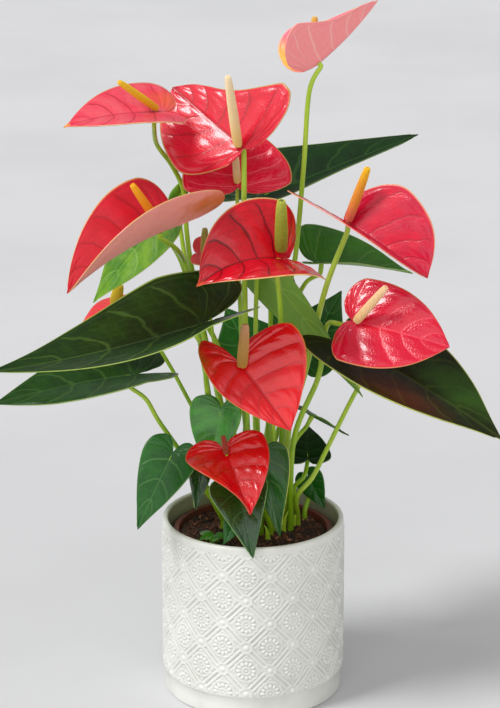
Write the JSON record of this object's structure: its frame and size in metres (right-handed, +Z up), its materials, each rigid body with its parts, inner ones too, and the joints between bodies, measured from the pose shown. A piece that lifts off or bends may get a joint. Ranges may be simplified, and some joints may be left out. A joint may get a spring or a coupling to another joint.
{
  "type": "potted anthurium",
  "caption": "Flamingo flower plant with glossy heart-shaped flowers and leaves on slender stalks, in a straight round ceramic pot with moulded diamond relief.",
  "frame": {"origin": "centre of the cover pot's flat base, on the surface it stands on", "axes": "+Z up, -Y towards the viewer of the front, +X to the viewer's right"},
  "size_m": [0.3911, 0.2284, 0.5524],
  "materials": {
    "glaze": "satin glaze over moulded relief",
    "nursery_plastic": "thin terracotta-coloured plastic",
    "potting_mix": "loose bark, rough",
    "spathe_blush": "satin",
    "spathe_pink": "satin",
    "spathe_crimson": "glossy",
    "spathe_red": "glossy",
    "spadix_cream": "matt, beaded",
    "spadix_yellow": "matt, beaded",
    "spadix_green": "matt, beaded",
    "spadix_peach": "matt, beaded",
    "spadix_brown": "matt, beaded",
    "stem_green": "satin",
    "leaf_dark": "glossy",
    "leaf_green": "glossy",
    "leaf_light": "glossy",
    "leaf_bluish": "satin"
  },
  "bodies": {
    "root": {"cover_pot": "glaze", "nursery_pot": "nursery_plastic", "potting_mix": "potting_mix", "spathe_01": "spathe_blush", "spathe_02": "spathe_pink", "spathe_03": "spathe_crimson", "spathe_04": "spathe_crimson", "spathe_05": "spathe_red", "spathe_06": "spathe_crimson", "spathe_07": "spathe_crimson", "spathe_08": "spathe_red", "spathe_09": "spathe_red", "spathe_10": "spathe_crimson", "spathe_11": "spathe_pink", "spathe_12": "spathe_pink", "spadix_01": "spadix_yellow", "spadix_02": "spadix_yellow", "spadix_03": "spadix_cream", "spadix_04": "spadix_yellow", "spadix_05": "spadix_green", "spadix_06": "spadix_yellow", "spadix_07": "spadix_cream", "spadix_08": "spadix_peach", "spadix_09": "spadix_brown", "spadix_10": "spadix_cream", "spadix_11": "spadix_yellow", "spadix_12": "spadix_green", "flower_stem_01": "stem_green", "flower_stem_02": "stem_green", "flower_stem_03": "stem_green", "flower_stem_04": "stem_green", "flower_stem_05": "stem_green", "flower_stem_06": "stem_green", "flower_stem_07": "stem_green", "flower_stem_08": "stem_green", "flower_stem_09": "stem_green", "flower_stem_10": "stem_green", "flower_stem_11": "stem_green", "flower_stem_12": "stem_green", "leaf_01": "leaf_dark", "leaf_02": "leaf_dark", "leaf_03": "leaf_dark", "leaf_04": "leaf_green", "leaf_05": "leaf_dark", "leaf_06": "leaf_green", "leaf_07": "leaf_bluish", "leaf_08": "leaf_bluish", "leaf_09": "leaf_bluish", "leaf_10": "leaf_bluish", "leaf_11": "leaf_light", "leaf_12": "leaf_green", "leaf_13": "leaf_green", "leaf_14": "leaf_bluish", "leaf_15": "leaf_green", "leaf_16": "leaf_dark", "leaf_17": "leaf_dark", "leaf_18": "leaf_bluish", "leaf_19": "leaf_light", "leaf_20": "leaf_light"}
  },
  "joints": []
}
